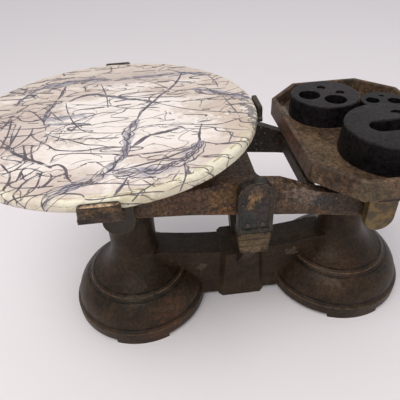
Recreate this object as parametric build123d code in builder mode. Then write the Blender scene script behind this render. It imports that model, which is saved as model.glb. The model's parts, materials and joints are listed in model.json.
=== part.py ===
from build123d import *
import os
from math import cos, sin, tan, radians

# Counter scale with two equal arms: a round marble plate for the goods on the left and an
# octagonal iron tray for loose weights on the right. All sizes in millimetres, +Z up, +X along
# the arms to the weights side, -Y to the front. The origin is on the floor, in the middle of
# the scale's length and depth. The scale stands with its weights side down on its stop.

# Balance: knife edges, lean and heights
arm = 132.0
rest_lean = 6.8
fulcrum_height = 188.0
stay_height = 30.0

# Goods plate
plate_radius = 144.6
plate_thickness = 11.6
plate_top_round = 4.5
plate_under_round = 4.0
plate_seat = 50.8
seat_gap = 0.2

# Weight tray
tray_half_length = 78.6
tray_half_width = 114.0
tray_cut_length = 37.0
tray_cut_width = 40.0
tray_height = 20.5
tray_wall = 5.5
tray_floor = 6.0
tray_wall_slope = 2.0
tray_corner_round = 4.0
tray_rim_round = 1.8
tray_seat = 40.3

# Bell feet
bell_radius = 85.0
foot_height = 5.8
foot_half_angle = 22.0
flange_top = 16.5
flange_step = 3.5
dome_foot = 21.0
dome_bulge_radius = 74.5
dome_bulge_height = 40.5
shoulder_radius = 61.2
shoulder_height = 53.5
bead_height = 3.8
bead_width = 3.7
flare_radius = 39.0
flare_height = 69.0
column_radius = 28.0
column_foot = 92.0
column_top = 148.0
shell = 7.5
column_wall = 8.0
column_cap = 12.0
stem_slack = 2.0

# Bridge between the bells, with a pier in its middle
bridge_top_half = 19.2
bridge_foot_half = 22.5
bridge_wall = 5.2
bridge_middle_height = 75.0
bridge_end_height = 84.4
bridge_sag_reach = 96.0
pier_top_length = 51.0
pier_foot_length = 60.0
pier_half_width = 26.8
pier_height = 77.0
pier_floor_gap = 1.0
pier_bevel = 5.0

# Beam
limb_outer = 68.5
limb_thickness = 12.0
limb_crest = 24.7
limb_crest_half = 26.0
limb_shoulder_reach = 64.0
limb_shoulder = 14.0
limb_end_top = 8.0
limb_end_reach = 14.0
limb_belly = 14.5
limb_belly_half = 60.0
limb_end_foot = -17.5
limb_round = 5.0
web_left = 62.0
web_right = 4.0
web_top = 22.0
web_thickness = 12.0
web_corner = 13.0
bar_inner = 60.5
bar_width = 8.0
bar_gusset = 5.0
bar_top = 10.5
bar_depth = 12.0

# Knife edges and their V bearings
knife_half = 4.0
knife_edge_rise = 6.9
knife_height = 11.0
knife_fit = 0.05
edge_gap = 0.1
groove_half = 5.0
groove_depth = 5.0
bearing_half = 6.9
bearing_height = 11.0
slot_fit = 0.1
knife_end_gap = 0.3

# Horns that carry the fulcrum, and their arch covers
head_gap = 3.5
head_thickness = 7.8
head_half = 14.2
block_half = 17.5
block_foot_half = 14.5
block_drop = 55.0
block_depth = 18.0
block_set = 1.5
block_round = 4.0
horn_arm_half = 6.5
horn_arm_thickness = 22.0
horn_arm_root = 14.0
horn_arm_drop = 15.0
cover_drop = 25.0
cover_rise = 34.8
cover_half = 17.5
cover_fit = 0.3
cover_face = 4.0
cover_depth = 10.5
cover_panel = 1.4
cover_border = 3.0
screw_reach = 7.6
screw_rise = 9.0
screw_shank = 1.5
screw_head = 2.7
screw_head_height = 1.7
screw_head_round = 1.3
screw_length = 9.0
screw_fit = 0.1

# Carriers: hub, cross arms, cheeks and D-shaped end caps
hub_radius = 16.0
stop_gap = 0.3
plate_arm_thickness = 4.2
plate_arm_width = 26.0
tray_arm_thickness = 18.0
tray_arm_width = 30.0
cheek_gap = 1.8
cheek_thickness = 8.7
cheek_half = 12.0
cheek_foot = 20.0
cap_half = 15.5
cap_foot = 27.0
cap_top = 20.0
cap_face = 3.2
cap_depth = 6.0
cap_fit = 0.2
cap_edge_round = 1.2
clip_half = 16.8
clip_top_half = 15.4
clip_gap = 0.4
clip_thickness = 5.0
clip_top = 61.8
clip_corner = 3.0
clip_round = 1.2
tray_arm_reach_x = 62.0
tray_arm_reach_y = 96.0
peg_radius = 4.0
peg_height = 3.0
peg_reach = 86.0
peg_fit = 0.4

# Stems, stay and their pins
stem_radius = 7.0
stem_thread = 5.0
thread_fit = 0.05
stem_top_gap = 2.5
nut_radius = 10.0
nut_height = 7.0
nut_pocket = 13.5
nut_pocket_depth = 12.0
fork_half = 9.0
fork_top = 14.0
fork_foot = 9.0
fork_slot_top = 11.0
fork_gap = 0.4
stay_thickness = 6.0
stay_depth = 12.0
stay_eye = 8.0
stay_hub = 10.0
stay_pin_radius = 4.0
stay_pin_fit = 0.05
stay_pin_blind = 5.0
stem_pin_radius = 3.5
open_pivot_gap = 0.4

# Balancing pocket under the weights carrier
pocket_start = 22.0
pocket_length = 52.0
pocket_half = 24.0
pocket_height = 18.0
pocket_wall = 4.0
lid_thickness = 2.5
lead_fit = 0.3
lead_height = 17.0
lid_screw_shank = 1.1
lid_screw_head = 1.9
lid_screw_head_height = 1.2
lid_screw_length = 8.0

# Loose weights: place of the centre from the middle of the tray, top and foot radius, height
large_weight_x = 13.9
large_weight_y = -44.6
large_weight_top = 49.0
large_weight_foot = 51.0
large_weight_height = 29.5
slot_half_length = 26.0
slot_half_width = 10.4
slot_depth = 19.0
large_plug_radius = 6.0
large_plug_reach = 28.0
large_plug_turn = 62.0
weight_edge_round = 1.6
plug_depth = 7.0
plug_drop = 3.0

small_weights = {
    "middle_weight": {
        "x": -21.3, "y": 52.1, "top": 38.5, "foot": 40.0, "height": 24.0,
        "hole": 12.5, "hole_depth": 13.0, "hole_reach": 18.8, "hole_turns": (181.0, -72.0),
        "plug": 5.4, "plug_reach": 17.6, "plug_turns": (86.0, -2.0),
    },
    "small_weight": {
        "x": 43.9, "y": 37.0, "top": 25.2, "foot": 26.4, "height": 16.0,
        "hole": 8.0, "hole_depth": 9.0, "hole_reach": 12.2, "hole_turns": (165.0, -15.0),
        "plug": 3.2, "plug_reach": 13.5, "plug_turns": (75.0, -105.0),
    },
}

# Places worked out from the sizes above
lean_cos = cos(radians(rest_lean))
lean_sin = sin(radians(rest_lean))
clip_reach = plate_radius + clip_gap + clip_thickness
fulcrum_x = (arm * lean_cos + clip_reach - arm - bell_radius) / 2
left_bell_x = fulcrum_x - arm
right_bell_x = fulcrum_x + arm
left_x = fulcrum_x - arm * lean_cos
right_x = fulcrum_x + arm * lean_cos
left_knife_z = fulcrum_height + arm * lean_sin
right_knife_z = fulcrum_height - arm * lean_sin
left_pin_z = stay_height + arm * lean_sin
right_pin_z = stay_height - arm * lean_sin
limb_inner = limb_outer - limb_thickness
bar_outer = bar_inner + bar_width
head_inner = limb_outer + head_gap
head_outer = head_inner + head_thickness
cheek_inner = limb_outer + cheek_gap
cheek_outer = cheek_inner + cheek_thickness
stop_drop = right_knife_z - column_top - stop_gap
plate_arm_top = plate_seat - seat_gap
tray_arm_top = tray_seat - seat_gap
tray_z = right_knife_z + tray_seat
weight_z = tray_z + tray_floor + seat_gap
stem_bore = stem_radius + stem_slack
cover_outer = head_outer + cover_face
cover_foot = fulcrum_height - cover_drop
cover_top = fulcrum_height + cover_rise
block_foot = fulcrum_height - block_drop
block_outer = cover_outer - block_set
cap_outer = cheek_outer + cap_face
screw_z = cover_foot + screw_rise
foot_spread = bell_radius * tan(radians(foot_half_angle))
ends = {"front": -1, "rear": 1}
pieces = {}


# An upright plane that faces the front, with its origin at a point and its x axis leaning
# down to the right by an angle in degrees
def front_view(x, y, z, lean=0.0):
    along = (cos(radians(lean)), 0, -sin(radians(lean)))
    return Plane(origin=(x, y, z), x_dir=along, z_dir=(0, -1, 0))


# The face of an arch: straight sides from its foot to its spring line, then a half round.
# With way -1 it hangs upside down, as a D-shaped cap does
def arch_outline(half, foot, spring, way=1):
    with BuildSketch() as outline:
        with BuildLine():
            Line((-half, foot), (half, foot))
            Line((half, foot), (half, spring))
            ThreePointArc((half, spring), (0, spring + way * half), (-half, spring))
            Line((-half, spring), (-half, foot))
        make_face()
    return outline.sketch


# Corners of a knife's section: its edge at x on the line through the knife edges, its body
# above the edge when rise is 1 and below it when rise is -1
def knife_points(x, rise):
    return (
        (x, 0),
        (x + knife_half, rise * knife_edge_rise),
        (x + knife_half, rise * knife_height),
        (x - knife_half, rise * knife_height),
        (x - knife_half, rise * knife_edge_rise),
    )


# Corners of a bearing block with its V groove, which opens up when rise is 1
def bearing_points(rise):
    lip = rise * (groove_depth - edge_gap)
    return (
        (-bearing_half, -rise * bearing_height),
        (bearing_half, -rise * bearing_height),
        (bearing_half, lip),
        (groove_half, lip),
        (0, -rise * edge_gap),
        (-groove_half, lip),
        (-bearing_half, lip),
    )


# Base casting: bridge, pier, two bells with columns, and two horns
with BuildPart() as bridge_body:
    with BuildSketch(Plane.YZ.offset(left_bell_x)):
        with BuildLine():
            Polyline(
                (-bridge_foot_half, 0),
                (bridge_foot_half, 0),
                (bridge_top_half, bridge_end_height),
                (-bridge_top_half, bridge_end_height),
                close=True,
            )
        make_face()
    extrude(amount=2 * arm)
    with BuildSketch(front_view(fulcrum_x, 0, 0)):
        with BuildLine():
            Line((-arm, foot_height), (arm, foot_height))
            Line((arm, foot_height), (arm, bridge_end_height))
            Line((arm, bridge_end_height), (bridge_sag_reach, bridge_end_height))
            ThreePointArc(
                (bridge_sag_reach, bridge_end_height),
                (0, bridge_middle_height),
                (-bridge_sag_reach, bridge_end_height),
            )
            Line((-bridge_sag_reach, bridge_end_height), (-arm, bridge_end_height))
            Line((-arm, bridge_end_height), (-arm, foot_height))
        make_face()
    extrude(amount=bridge_foot_half, both=True, mode=Mode.INTERSECT)

with BuildPart() as pier_body:
    for height, length in ((pier_floor_gap, pier_foot_length), (pier_height, pier_top_length)):
        with BuildSketch(Plane.XY.offset(height)) as level:
            with Locations((fulcrum_x, 0)):
                Rectangle(length, 2 * pier_half_width)
            chamfer(level.vertices(), pier_bevel)
    loft()

with BuildPart() as base_casting:
    for bell_x in (left_bell_x, right_bell_x):
        with BuildSketch(front_view(bell_x, 0, 0)):
            with BuildLine():
                Polyline(
                    (shoulder_radius, shoulder_height),
                    (shoulder_radius - bead_width, shoulder_height + bead_height),
                )
                ThreePointArc(
                    (shoulder_radius - bead_width, shoulder_height + bead_height),
                    (flare_radius, flare_height),
                    (column_radius, column_foot),
                )
                Polyline(
                    (column_radius, column_foot),
                    (column_radius, column_top),
                    (0, column_top),
                    (0, foot_height),
                    (bell_radius, foot_height),
                    (bell_radius, flange_top),
                    (bell_radius - flange_step, dome_foot),
                )
                ThreePointArc(
                    (bell_radius - flange_step, dome_foot),
                    (dome_bulge_radius, dome_bulge_height),
                    (shoulder_radius, shoulder_height),
                )
            make_face()
        revolve(axis=Axis((bell_x, 0, 0), (0, 0, 1)))
    add(bridge_body.part)
    add(pier_body.part)
    for way in ends.values():
        with BuildSketch(Plane.YZ.offset(fulcrum_x - horn_arm_half)):
            with BuildLine():
                Polyline(
                    (way * horn_arm_root, pier_height - bridge_wall),
                    (way * pier_half_width, pier_height - horn_arm_drop),
                    (way * (block_outer - block_round), block_foot),
                    (way * (block_outer - block_round), block_foot + horn_arm_thickness),
                    (way * (block_outer - block_depth), block_foot + horn_arm_thickness),
                    (way * horn_arm_root, pier_height),
                    close=True,
                )
            make_face()
        extrude(amount=2 * horn_arm_half)
        with BuildSketch(front_view(fulcrum_x, way * block_outer, 0)) as block:
            with BuildLine():
                Polyline(
                    (-block_half, cover_foot),
                    (-block_foot_half, block_foot),
                    (block_foot_half, block_foot),
                    (block_half, cover_foot),
                    close=True,
                )
            make_face()
            fillet(block.vertices().group_by(Axis.Y)[0], block_round)
        extrude(amount=way * block_depth)
        with BuildSketch(front_view(fulcrum_x, way * head_inner, 0)):
            add(arch_outline(head_half, cover_foot, cover_top - cover_half))
        extrude(amount=-way * head_thickness)
    # The underside is hollow, so that the stay can move in it
    for bell_x in (left_bell_x, right_bell_x):
        with BuildSketch(front_view(bell_x, 0, 0)):
            with BuildLine():
                ThreePointArc(
                    (bell_radius - shell, flange_top),
                    (dome_bulge_radius - shell, dome_bulge_height - shell / 2),
                    (shoulder_radius - shell, shoulder_height - shell),
                )
                ThreePointArc(
                    (shoulder_radius - shell, shoulder_height - shell),
                    (flare_radius - shell, flare_height - shell),
                    (column_radius - column_wall, column_foot),
                )
                Polyline(
                    (column_radius - column_wall, column_foot),
                    (column_radius - column_wall, column_top - column_cap),
                    (0, column_top - column_cap),
                    (0, 0),
                    (bell_radius - shell, 0),
                    (bell_radius - shell, flange_top),
                )
            make_face()
        revolve(axis=Axis((bell_x, 0, 0), (0, 0, 1)), mode=Mode.SUBTRACT)
        with BuildSketch(Plane.XY.offset(column_top)):
            with Locations((bell_x, 0)):
                Circle(stem_bore)
        extrude(amount=-2 * column_cap, mode=Mode.SUBTRACT)
    with BuildSketch(Plane.XY):
        with Locations((fulcrum_x, 0)):
            Rectangle(2 * arm, 2 * (bridge_top_half - bridge_wall))
    extrude(amount=bridge_middle_height - bridge_wall, mode=Mode.SUBTRACT)
    # Foot pads, one at the front and one at the rear of each bell
    for bell_x in (left_bell_x, right_bell_x):
        with BuildSketch(Plane.XY):
            for way in ends.values():
                with BuildLine():
                    Polyline(
                        (bell_x, 0),
                        (bell_x - foot_spread, way * bell_radius),
                        (bell_x + foot_spread, way * bell_radius),
                        close=True,
                    )
                make_face()
            with Locations((bell_x, 0)):
                Circle(bell_radius, mode=Mode.INTERSECT)
                Circle(bell_radius - shell, mode=Mode.SUBTRACT)
        extrude(amount=foot_height)
    # Slots for the fulcrum bearings and holes for the cover screws and the stay's pivot
    for way in ends.values():
        with BuildSketch(front_view(fulcrum_x, way * head_inner, fulcrum_height - bearing_height)):
            with Locations((0, cover_rise)):
                Rectangle(2 * (bearing_half + slot_fit), 2 * cover_rise)
        extrude(amount=-way * head_thickness, mode=Mode.SUBTRACT)
        with BuildSketch(front_view(fulcrum_x, way * head_outer, screw_z)):
            with Locations((-screw_reach, 0), (screw_reach, 0)):
                Circle(screw_shank + screw_fit)
        extrude(amount=way * head_thickness, mode=Mode.SUBTRACT)
    with BuildSketch(front_view(fulcrum_x, pier_half_width, stay_height)):
        Circle(stay_pin_radius + stay_pin_fit)
    extrude(amount=2 * pier_half_width - stay_pin_blind, mode=Mode.SUBTRACT)
pieces["base_casting"] = base_casting

# Fulcrum bearings, arch covers and their screws
for end, way in ends.items():
    with BuildPart() as fulcrum_bearing:
        with BuildSketch(front_view(fulcrum_x, way * head_inner, fulcrum_height)):
            with BuildLine():
                Polyline(*bearing_points(1), close=True)
            make_face()
        extrude(amount=-way * head_thickness)
    pieces[f"fulcrum_bearing_{end}"] = fulcrum_bearing

    with BuildPart() as arch_cover:
        with BuildSketch(front_view(fulcrum_x, way * cover_outer, 0)):
            add(arch_outline(cover_half, cover_foot, cover_top - cover_half))
        extrude(amount=way * cover_depth)
        with BuildSketch(front_view(fulcrum_x, way * head_outer, 0)):
            add(arch_outline(head_half + cover_fit, cover_foot, cover_top - cover_half))
        extrude(amount=way * cover_depth, mode=Mode.SUBTRACT)
        with BuildSketch(front_view(fulcrum_x, way * cover_outer, 0)):
            add(arch_outline(cover_half - cover_border, cover_foot + cover_border, cover_top - cover_half))
        extrude(amount=way * cover_panel, mode=Mode.SUBTRACT)
        with BuildSketch(front_view(fulcrum_x, way * cover_outer, screw_z)):
            with Locations((-screw_reach, 0), (screw_reach, 0)):
                Circle(screw_shank + screw_fit)
        extrude(amount=way * cover_face, mode=Mode.SUBTRACT)
    pieces[f"arch_cover_{end}"] = arch_cover

    with BuildPart() as cover_screws:
        with BuildSketch(front_view(fulcrum_x, way * (cover_outer - cover_panel), screw_z)):
            with Locations((-screw_reach, 0), (screw_reach, 0)):
                Circle(screw_head)
        extrude(amount=-way * screw_head_height)
        fillet(cover_screws.edges().group_by(Axis.Y)[0 if way < 0 else -1], screw_head_round)
        with BuildSketch(front_view(fulcrum_x, way * (cover_outer - cover_panel), screw_z)):
            with Locations((-screw_reach, 0), (screw_reach, 0)):
                Circle(screw_shank)
        extrude(amount=way * screw_length)
    pieces[f"cover_screws_{end}"] = cover_screws

with BuildPart() as stay_pivot_pin:
    with BuildSketch(front_view(fulcrum_x, pier_half_width, stay_height)):
        Circle(stay_pin_radius)
    extrude(amount=2 * pier_half_width - stay_pin_blind)
pieces["stay_pivot_pin"] = stay_pivot_pin

# Beam casting: the side outline of a limb is drawn from the line through the knife edges
knives = {"left_knife": (-arm, -1), "fulcrum_knife": (0, 1), "right_knife": (arm, -1)}
with BuildPart() as beam_casting:
    with BuildSketch(front_view(fulcrum_x, -limb_inner, fulcrum_height, rest_lean)) as limb:
        with BuildLine():
            Polyline(
                (-arm - limb_end_reach, limb_end_foot),
                (-arm + limb_end_reach, limb_end_foot),
                (-limb_belly_half, -limb_belly),
                (limb_belly_half, -limb_belly),
                (arm - limb_end_reach, limb_end_foot),
                (arm + limb_end_reach, limb_end_foot),
                (arm + limb_end_reach, limb_end_top),
                (arm - limb_end_reach, limb_end_top),
                (limb_shoulder_reach, limb_shoulder),
                (limb_crest_half, limb_crest),
                (-limb_crest_half, limb_crest),
                (-limb_shoulder_reach, limb_shoulder),
                (-arm + limb_end_reach, limb_end_top),
                (-arm - limb_end_reach, limb_end_top),
                close=True,
            )
        make_face()
        fillet(limb.vertices(), limb_round)
    extrude(amount=limb_thickness)
    mirror(about=Plane.XZ)
    beam_top = Plane(
        origin=(fulcrum_x, 0, fulcrum_height),
        x_dir=(lean_cos, 0, -lean_sin),
        z_dir=(lean_sin, 0, lean_cos),
    )
    with BuildSketch(beam_top.offset(web_top)):
        with Locations(((web_right + web_corner - web_left) / 2, 0)):
            Rectangle(web_right + web_corner + web_left, 2 * limb_inner)
        with Locations(((web_right + bar_inner) / 2, 0)):
            RectangleRounded(bar_inner - web_right, 2 * limb_inner, web_corner, mode=Mode.SUBTRACT)
    extrude(amount=-web_thickness)
    with BuildSketch(beam_top.offset(bar_top)):
        with BuildLine():
            Polyline(
                (bar_inner, -limb_inner),
                (bar_outer + bar_gusset, -limb_inner),
                (bar_outer, bar_gusset - limb_inner),
                (bar_outer, limb_inner - bar_gusset),
                (bar_outer + bar_gusset, limb_inner),
                (bar_inner, limb_inner),
                close=True,
            )
        make_face()
    extrude(amount=-bar_depth)
    for x, rise in knives.values():
        for way in ends.values():
            with BuildSketch(front_view(fulcrum_x, way * limb_outer, fulcrum_height, rest_lean)):
                with BuildLine():
                    Polyline(*knife_points(x, rise), close=True)
                make_face()
                offset(amount=knife_fit, kind=Kind.INTERSECTION)
            extrude(amount=way * limb_thickness, mode=Mode.SUBTRACT)
pieces["beam_casting"] = beam_casting

# Knife edges, each through a limb and out into its bearing
for name, (x, rise) in knives.items():
    reach = head_outer if name == "fulcrum_knife" else cheek_outer
    for end, way in ends.items():
        with BuildPart() as knife:
            with BuildSketch(front_view(fulcrum_x, way * limb_inner, fulcrum_height, rest_lean)):
                with BuildLine():
                    Polyline(*knife_points(x, rise), close=True)
                make_face()
            extrude(amount=-way * (reach - knife_end_gap - limb_inner))
        pieces[f"{name}_{end}"] = knife

# Stay: a flat bar on the bridge's pivot, with an open eye at each stem
with BuildPart() as stay:
    with BuildSketch(front_view(fulcrum_x, stay_thickness / 2, stay_height, rest_lean)):
        Rectangle(2 * arm, stay_depth)
        Circle(stay_hub)
        with Locations((-arm, 0), (arm, 0)):
            Circle(stay_eye)
            Circle(stem_pin_radius + open_pivot_gap, mode=Mode.SUBTRACT)
        Circle(stay_pin_radius + stay_pin_fit, mode=Mode.SUBTRACT)
    extrude(amount=stay_thickness)
pieces["stay"] = stay

# Both sides: stem with its fork, stem pin, nut, end caps and end bearings
sides = {
    "left": (left_x, left_knife_z, left_pin_z, plate_arm_top),
    "right": (right_x, right_knife_z, right_pin_z, tray_arm_top),
}
for side, (x, knife_z, pin_z, arm_top) in sides.items():
    hub_foot = knife_z - stop_drop
    nut_floor = knife_z + arm_top - nut_pocket_depth
    with BuildPart() as stem:
        with BuildSketch(Plane.XY.offset(pin_z - fork_foot)):
            with Locations((x, 0)):
                Rectangle(2 * fork_half, 2 * fork_half)
        extrude(amount=fork_foot + fork_top)
        with BuildSketch(Plane.XY.offset(pin_z)):
            with Locations((x, 0)):
                Circle(stem_radius)
        extrude(amount=hub_foot - pin_z)
        with BuildSketch(Plane.XY.offset(hub_foot)):
            with Locations((x, 0)):
                Circle(stem_thread)
        extrude(amount=knife_z + arm_top - stem_top_gap - hub_foot)
        with BuildSketch(Plane.XY.offset(pin_z - fork_foot)):
            with Locations((x, 0)):
                Rectangle(2 * fork_half, stay_thickness + 2 * fork_gap)
        extrude(amount=fork_foot + fork_slot_top, mode=Mode.SUBTRACT)
        with BuildSketch(front_view(x, fork_half, pin_z)):
            Circle(stem_pin_radius + stay_pin_fit)
        extrude(amount=2 * fork_half, mode=Mode.SUBTRACT)
    pieces[f"{side}_stem"] = stem

    with BuildPart() as stem_pin:
        with BuildSketch(front_view(x, fork_half, pin_z)):
            Circle(stem_pin_radius)
        extrude(amount=2 * fork_half)
    pieces[f"{side}_stem_pin"] = stem_pin

    with BuildPart() as stem_nut:
        with BuildSketch(Plane.XY.offset(nut_floor)):
            with Locations((x, 0)):
                RegularPolygon(nut_radius, 6)
                Circle(stem_thread + thread_fit, mode=Mode.SUBTRACT)
        extrude(amount=nut_height)
    pieces[f"{side}_stem_nut"] = stem_nut

    for end, way in ends.items():
        with BuildPart() as end_bearing:
            with BuildSketch(front_view(x, way * cheek_inner, knife_z)):
                with BuildLine():
                    Polyline(*bearing_points(-1), close=True)
                make_face()
            extrude(amount=-way * cheek_thickness)
        pieces[f"{side}_bearing_{end}"] = end_bearing

        with BuildPart() as end_cap:
            with BuildSketch(front_view(x, way * cap_outer, knife_z)):
                add(arch_outline(cap_half, cap_top, cap_half - cap_foot, -1))
            extrude(amount=way * (cap_face + cap_depth))
            fillet(end_cap.edges().group_by(Axis.Y)[0 if way < 0 else -1], cap_edge_round)
            with BuildSketch(front_view(x, way * cheek_outer, knife_z)):
                add(arch_outline(cheek_half + cap_fit, cap_top, cap_half - cap_foot, -1))
            extrude(amount=way * cap_depth, mode=Mode.SUBTRACT)
        pieces[f"{side}_end_cap_{end}"] = end_cap


# Core of each carrier: hub, crossed arms, and a cheek over the outer face of each limb
arms = {
    "left": (clip_reach, clip_reach, plate_arm_width, plate_arm_thickness),
    "right": (tray_arm_reach_x, tray_arm_reach_y, tray_arm_width, tray_arm_thickness),
}
cores = {}
for side, (x, knife_z, pin_z, arm_top) in sides.items():
    reach_x, reach_y, arm_width, arm_thickness = arms[side]
    with BuildPart() as core:
        with BuildSketch(Plane.XY.offset(knife_z - stop_drop)):
            with Locations((x, 0)):
                Circle(hub_radius)
        extrude(amount=stop_drop + arm_top)
        with BuildSketch(Plane.XY.offset(knife_z + arm_top)):
            with Locations((x, 0)):
                Rectangle(2 * reach_x, arm_width)
                Rectangle(arm_width, 2 * reach_y)
        extrude(amount=-arm_thickness)
        for way in ends.values():
            with BuildSketch(front_view(x, way * cheek_inner, knife_z)):
                add(arch_outline(cheek_half, arm_top - arm_thickness, cheek_half - cheek_foot, -1))
            extrude(amount=-way * cheek_thickness)
            with BuildSketch(front_view(x, way * cheek_inner, knife_z)):
                with Locations((0, bearing_height - cheek_foot)):
                    Rectangle(2 * (bearing_half + slot_fit), 2 * cheek_foot)
            extrude(amount=-way * cheek_thickness, mode=Mode.SUBTRACT)
        with BuildSketch(Plane.XY.offset(knife_z + arm_top)):
            with Locations((x, 0)):
                Circle(nut_pocket)
        extrude(amount=-nut_pocket_depth, mode=Mode.SUBTRACT)
        with BuildSketch(Plane.XY.offset(knife_z - stop_drop)):
            with Locations((x, 0)):
                Circle(stem_thread + thread_fit)
        extrude(amount=stop_drop + arm_top, mode=Mode.SUBTRACT)
    cores[side] = core

# Goods carrier: its four arms end in upturned clips round the plate
with BuildPart() as goods_carrier:
    add(cores["left"].part)
    with BuildSketch(Plane.XY.offset(left_knife_z + plate_arm_top)):
        with Locations((left_x, 0)):
            with PolarLocations(clip_reach - clip_half / 2, 4):
                Rectangle(clip_half, 2 * clip_half)
    extrude(amount=-plate_arm_thickness)
    for turn in range(4):
        out = Vector(1, 0, 0).rotate(Axis.Z, turn * 90)
        across = Vector(0, 1, 0).rotate(Axis.Z, turn * 90)
        clip_face = Plane(origin=(left_x, 0, left_knife_z), x_dir=across, z_dir=out).offset(clip_reach)
        with BuildSketch(clip_face) as clip_outline:
            with BuildLine():
                Polyline(
                    (-clip_half, plate_arm_top - plate_arm_thickness),
                    (clip_half, plate_arm_top - plate_arm_thickness),
                    (clip_top_half, clip_top),
                    (-clip_top_half, clip_top),
                    close=True,
                )
            make_face()
            fillet(clip_outline.vertices().group_by(Axis.Y)[-1], clip_corner)
        extrude(amount=-clip_thickness)
    top_edges = goods_carrier.edges().group_by(Axis.Z)[-1]
    fillet(top_edges.filter_by(lambda edge: edge.length > 2 * clip_thickness), clip_round)
pieces["goods_carrier"] = goods_carrier

# Marble plate, loose in the clips
with BuildPart() as marble_plate:
    with BuildSketch(Plane.XY.offset(left_knife_z + plate_seat)):
        with Locations((left_x, 0)):
            Circle(plate_radius)
    extrude(amount=plate_thickness)
    fillet(marble_plate.edges().group_by(Axis.Z)[-1], plate_top_round)
    fillet(marble_plate.edges().group_by(Axis.Z)[0], plate_under_round)
pieces["marble_plate"] = marble_plate

# Weights carrier: pegs for the tray on its long arms, balancing pocket under its outer arm
pocket_x = right_x + pocket_start + pocket_length / 2
pocket_z = right_knife_z + tray_arm_top - tray_arm_thickness - pocket_height
with BuildPart() as weights_carrier:
    add(cores["right"].part)
    with BuildSketch(Plane.XY.offset(right_knife_z + tray_arm_top)):
        with Locations((right_x, -peg_reach), (right_x, peg_reach)):
            Circle(peg_radius)
    extrude(amount=peg_height)
    with BuildSketch(Plane.XY.offset(pocket_z)):
        with Locations((pocket_x, 0)):
            Rectangle(pocket_length, 2 * pocket_half)
    extrude(amount=pocket_height + tray_arm_thickness)
    with BuildSketch(Plane.XY.offset(pocket_z)):
        with Locations((pocket_x, 0)):
            Rectangle(pocket_length - 2 * pocket_wall, 2 * (pocket_half - pocket_wall))
    extrude(amount=pocket_height, mode=Mode.SUBTRACT)
    with BuildSketch(Plane.XY.offset(pocket_z)):
        with Locations((pocket_x, 0)):
            with GridLocations(pocket_length - pocket_wall, 0, 2, 1):
                Circle(lid_screw_shank + screw_fit)
    extrude(amount=lid_screw_length, mode=Mode.SUBTRACT)
pieces["weights_carrier"] = weights_carrier

with BuildPart() as balance_lid:
    with BuildSketch(Plane.XY.offset(pocket_z)):
        with Locations((pocket_x, 0)):
            Rectangle(pocket_length, 2 * pocket_half)
            with GridLocations(pocket_length - pocket_wall, 0, 2, 1):
                Circle(lid_screw_shank + screw_fit, mode=Mode.SUBTRACT)
    extrude(amount=-lid_thickness)
pieces["balance_lid"] = balance_lid

with BuildPart() as balance_lid_screws:
    with BuildSketch(Plane.XY.offset(pocket_z - lid_thickness)):
        with Locations((pocket_x, 0)):
            with GridLocations(pocket_length - pocket_wall, 0, 2, 1):
                Circle(lid_screw_head)
    extrude(amount=-lid_screw_head_height)
    with BuildSketch(Plane.XY.offset(pocket_z - lid_thickness)):
        with Locations((pocket_x, 0)):
            with GridLocations(pocket_length - pocket_wall, 0, 2, 1):
                Circle(lid_screw_shank)
    extrude(amount=lid_screw_length)
pieces["balance_lid_screws"] = balance_lid_screws

with BuildPart() as balance_lead:
    with BuildSketch(Plane.XY.offset(pocket_z)):
        with Locations((pocket_x, 0)):
            Rectangle(
                pocket_length - 2 * (pocket_wall + lead_fit),
                2 * (pocket_half - pocket_wall - lead_fit),
            )
    extrude(amount=lead_height)
pieces["balance_lead"] = balance_lead

# Octagonal weight tray
with BuildSketch() as tray_outline:
    with BuildLine():
        Polyline(
            (-tray_half_length, -tray_half_width + tray_cut_width),
            (-tray_half_length + tray_cut_length, -tray_half_width),
            (tray_half_length - tray_cut_length, -tray_half_width),
            (tray_half_length, -tray_half_width + tray_cut_width),
            (tray_half_length, tray_half_width - tray_cut_width),
            (tray_half_length - tray_cut_length, tray_half_width),
            (-tray_half_length + tray_cut_length, tray_half_width),
            (-tray_half_length, tray_half_width - tray_cut_width),
            close=True,
        )
    make_face()

with BuildPart() as weight_tray:
    with BuildSketch(Plane((right_x, 0, tray_z))):
        add(tray_outline.sketch)
    extrude(amount=tray_height)
    fillet(weight_tray.edges().filter_by(Axis.Z), tray_corner_round)
    with BuildSketch(Plane((right_x, 0, tray_z + tray_floor))):
        add(tray_outline.sketch)
        offset(amount=-tray_wall - tray_wall_slope, kind=Kind.INTERSECTION)
    with BuildSketch(Plane((right_x, 0, tray_z + tray_height))):
        add(tray_outline.sketch)
        offset(amount=-tray_wall, kind=Kind.INTERSECTION)
    loft(ruled=True, mode=Mode.SUBTRACT)
    fillet(weight_tray.edges().group_by(Axis.Z)[-1], tray_rim_round)
    with BuildSketch(Plane.XY.offset(tray_z)):
        with Locations((right_x, -peg_reach), (right_x, peg_reach)):
            Circle(peg_radius + peg_fit)
    extrude(amount=peg_height + peg_fit, mode=Mode.SUBTRACT)
pieces["weight_tray"] = weight_tray

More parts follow.
